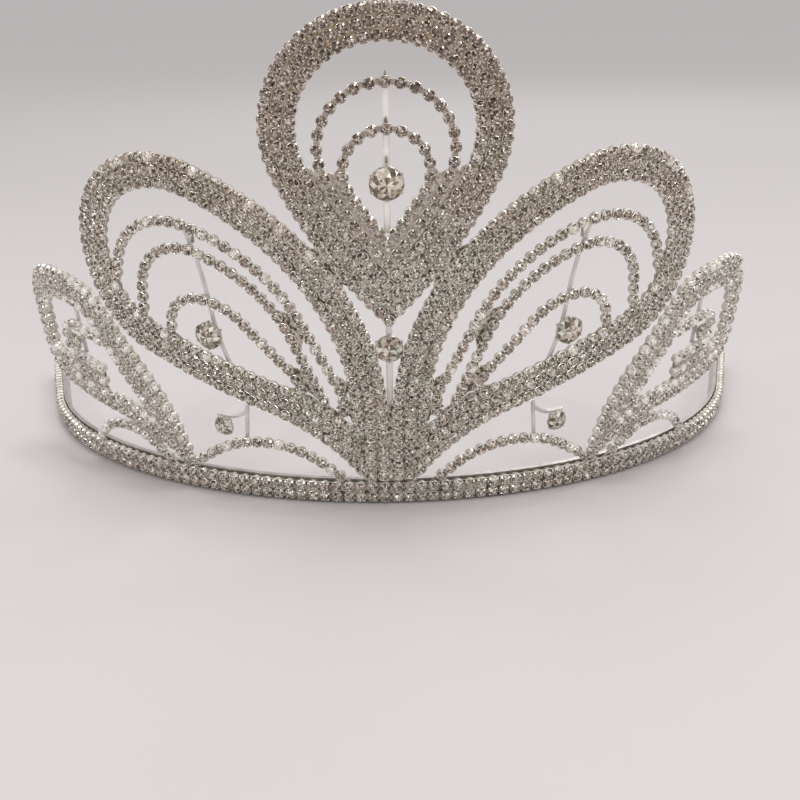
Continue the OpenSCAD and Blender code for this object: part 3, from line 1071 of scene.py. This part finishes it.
# painted reflections: light bars run across the stone, and brown and olive facets fill the rest
def makeLargeStone(name, node, seat, flip):
    shape = Shape()
    draw = random.Random(node)
    at, diameter, lift, claws = seat
    place, axes = seatOf(at, diameter, lift, flip)
    sizes = {key: largeStones[key] * diameter / 2
             for key in ("girdle", "table", "tableAt", "star", "seatAt")}
    points, faces, rings = brilliant({**sizes, "girdleAt": 0}, largeStones["sides"])
    tones = paintedFacetReflections(draw, rings, largeStones["bias"], largeStones["white"], largeStones["black"])
    for number, face in enumerate(faces):
        if rings[number] > 4:
            continue
        x, y = np.mean(points[face][:, :2], axis=0)
        across = abs(math.sin(math.atan2(y, x)))
        if across < largeStones["bar"] and rings[number] < 4:
            tones[number] = max(tones[number], draw.uniform(*largeStones["barTones"]))
        elif draw.random() < largeStones["dark"]["outer" if rings[number] > 2 else "inner"]:
            tones[number] = draw.uniform(*largeStones["darkTones"])
    shape.add(points @ axes + place, faces, 0, tones)
    shape.build(name, ["clear"], node)


# a flat strip with rounded edges behind the rows
def addStrip(shape, path, width, mirror, part):
    half, rounding = width / 2, stems["round"]
    section = [(half, stems["back"] + rounding), (half, stems["front"] - rounding),
               (half - rounding, stems["front"]), (rounding - half, stems["front"]),
               (-half, stems["front"] - rounding), (-half, stems["back"] + rounding),
               (rounding - half, stems["back"]), (half - rounding, stems["back"])]
    steps = 8
    marks = [k / steps for k in range(steps * len(path.bends) + 1)]
    points = [bend(path.at(u, offset)[:2], w) * mirror for u in marks for offset, w in section]
    size = len(section)
    faces = [list(range(size)), [len(points) - size + k for k in range(size)][::-1]]
    for k in range(len(marks) - 1):
        faces += [face[::-1] for face in loft(k * size, (k + 1) * size, size)]
    if mirror[0] < 0:
        faces = [face[::-1] for face in faces]
    shape.add(points, faces, part)


# a wire end that tapers upwards
def addPin(shape, at, length, mirror):
    half, low, high = stems["pinWidth"] / 2, stems["pinBack"], stems["pinFront"]
    points = []
    for share, wide in ((0, half), (0.6, half * 0.9), (1, half * 0.3)):
        y = at[1] + length * share
        points += [bend((at[0] + x, y), w) * mirror
                   for x, w in ((wide, low), (wide, high), (-wide, high), (-wide, low))]
    faces = [[0, 1, 2, 3], [11, 10, 9, 8]]
    for k in range(2):
        faces += [face[::-1] for face in loft(4 * k, 4 * k + 4, 4)]
    if mirror[0] < 0:
        faces = [face[::-1] for face in faces]
    shape.add(points, faces, pinPart)


# the collet, a thin round wall under the stone, its slim claws, a foot and the stem behind
def makeSetting(name, node, kind, seat, flip):
    shape = Shape()
    mirror = np.array([-1.0 if flip else 1.0, 1.0, 1.0])
    at, diameter, lift, claws = seat
    r = diameter / 2
    girdle = largeStones["girdle"] * r
    place, axes = seatOf(at, diameter, lift, flip)
    sides = 32
    # radius and level, from the foot on the stem up to the wall and down inside it
    profile = [(0.3 * r, stems["back"] + 0.1 - seatHeight(diameter, lift)),
               (0.32 * r, -largeStones["depth"] * r), (0.6 * r, -0.5 * r), (girdle + 0.1, -0.2 * r),
               (girdle + 0.13, 0.02), (girdle + 0.06, 0.07), (girdle + 0.01, 0.02),
               (girdle * 0.75, -0.3 * r)]
    points = np.concatenate([ring(radius, level, sides) for radius, level in profile])
    faces = [list(range(sides))[::-1]]
    for k in range(len(profile) - 1):
        faces += loft(k * sides, (k + 1) * sides, sides)
    faces.append([(len(profile) - 1) * sides + i for i in range(sides)])
    shape.add(points @ axes + place, faces, colletPart)
    wide = 0.055 * r + 0.06
    tip = girdle - 0.1 * r - 0.1
    for k in range(claws):
        points, faces = tab([
            (girdle + 0.3, girdle + 0.05, -0.3 * r, wide), (girdle + 0.3, girdle + 0.02, 0.1, wide),
            (girdle + 0.06, girdle - 0.16, 0.05 * r + 0.18, wide * 0.9),
            (tip, tip - 0.04, 0.1 * r + 0.16, wide * 0.6)], (k + 0.5) * 2 * math.pi / claws)
        shape.add(points @ axes + place, faces, colletPart)
    for path in stems["routes"][kind]:
        addStrip(shape, path, stems["width"][kind], mirror, stemPart if at[0] == 0 else wirePart)
    for pinAt, length in stems["pins"].get(kind, []):
        addPin(shape, pinAt, length, mirror)
    shape.build(name, ["stem", "pin", "wire", "collet"], node)


for kind, seat in largeStones["seats"].items():
    for side in sidesOf(seat[0][0] == 0):
        makeLargeStone(side + kind + "_stone_cut", side + kind + "_stone", seat, side == "left_")
        makeSetting(side + kind + "_collet", side + kind + "_setting", kind, seat, side == "left_")
print("large stones made")

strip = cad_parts["band_strip"]
strip.data.materials.clear()
strip.data.materials.append(finishes["band"])


# floor and light


stageSettings = {
    "floorSize": 60,  # metres
    "floorColour": (0.62, 0.595, 0.595),
    "cloudScale": 2.0,
    "cloudShade": 0.97,
    # the floor is painted darker behind the ornament, as painted shade
    "farShade": 0.84,  # how dark the floor is at farTo metres behind, against here
    "farFrom": 0.0,
    "farTo": 0.45,
    "roomColour": (0.6014, 0.580351, 0.583358),
}


def shaded(colour, share):
    return tuple(part * share for part in colour)


def makeStage(settings):
    half = settings["floorSize"] / 2
    corners = [(-half, -half, 0), (half, -half, 0), (half, half, 0), (-half, half, 0)]
    mesh = bpy.data.meshes.new("floor")
    mesh.from_pydata(corners, [], [(0, 1, 2, 3)])
    floor = bpy.data.objects.new("floor", mesh)
    bpy.context.collection.objects.link(floor)
    colour = settings["floorColour"]
    finish = Finish("floor_paper", Roughness=0.9, Specular_IOR_Level=0.2)
    cloud = finish.add("ShaderNodeTexNoise", None, {
        "Vector": finish.place(), "Scale": settings["cloudScale"], "Detail": 2.0})
    stops = [(0.3, shaded(colour, settings["cloudShade"])), (0.7, colour)]
    near = finish.add("ShaderNodeValToRGB", {"stops": stops}, {0: cloud})
    # painted shade: the floor darkens behind the ornament
    fade = finish.ramp("Y", settings["farFrom"], settings["farTo"])
    finish.give(Base_Color=near.over(shaded(colour, settings["farShade"]), fade))
    mesh.materials.append(finish.material)


makeStage(stageSettings)

lampSettings = [
    # name, place, aim, size, power, colour
    ("top", (0.0, 0.1, 0.8), (0, 0.04, 0.03), (0.8, 0.6), 1.2, (1, 0.985, 0.96)),
    ("frontLeft", (-0.7, -0.6, 0.55), (0, 0.0, 0.05), (0.12, 0.12), 1.0, (1, 0.97, 0.93)),
    ("frontRight", (0.75, -0.5, 0.6), (0, 0.0, 0.05), (0.12, 0.12), 1.0, (1, 0.98, 0.96)),
    ("low", (0.1, -0.9, 0.25), (0, 0.0, 0.05), (0.3, 0.1), 0.8, (1, 0.98, 0.96)),
    ("rear", (0.2, 0.8, 0.5), (0, 0.0, 0.05), (0.3, 0.15), 0.8, (1, 1, 1)),
]
sunSettings = {"place": (0.1, -0.1, 1.5), "strength": 1.0, "angle": math.radians(24)}


def lampAt(name, data, place, aim):
    lamp = bpy.data.objects.new(name, data)
    bpy.context.collection.objects.link(lamp)
    turn = (Vector(aim) - Vector(place)).to_track_quat("-Z", "Y").to_matrix().to_4x4()
    lamp.matrix_world = Matrix.Translation(Vector(place)) @ turn


def makeLamps(lamps, sun):
    for name, place, aim, size, power, colour in lamps:
        data = bpy.data.lights.new(name, "AREA")
        data.shape = "RECTANGLE"
        data.size, data.size_y = size
        data.energy = power
        data.color = colour
        lampAt(name, data, place, aim)
    data = bpy.data.lights.new("sun", "SUN")
    data.energy = sun["strength"]
    data.angle = sun["angle"]
    lampAt("sun", data, sun["place"], (0, 0, 0))


makeLamps(lampSettings, sunSettings)


# the room is one plain grey all round
def makeRoom(colour):
    world = bpy.data.worlds.new("room")
    world.use_nodes = True
    world.node_tree.nodes["Background"].inputs[0].default_value = (*colour, 1)
    bpy.context.scene.world = world
    bpy.context.scene.view_settings.view_transform = "Standard"


makeRoom(stageSettings["roomColour"])
print("stage made")
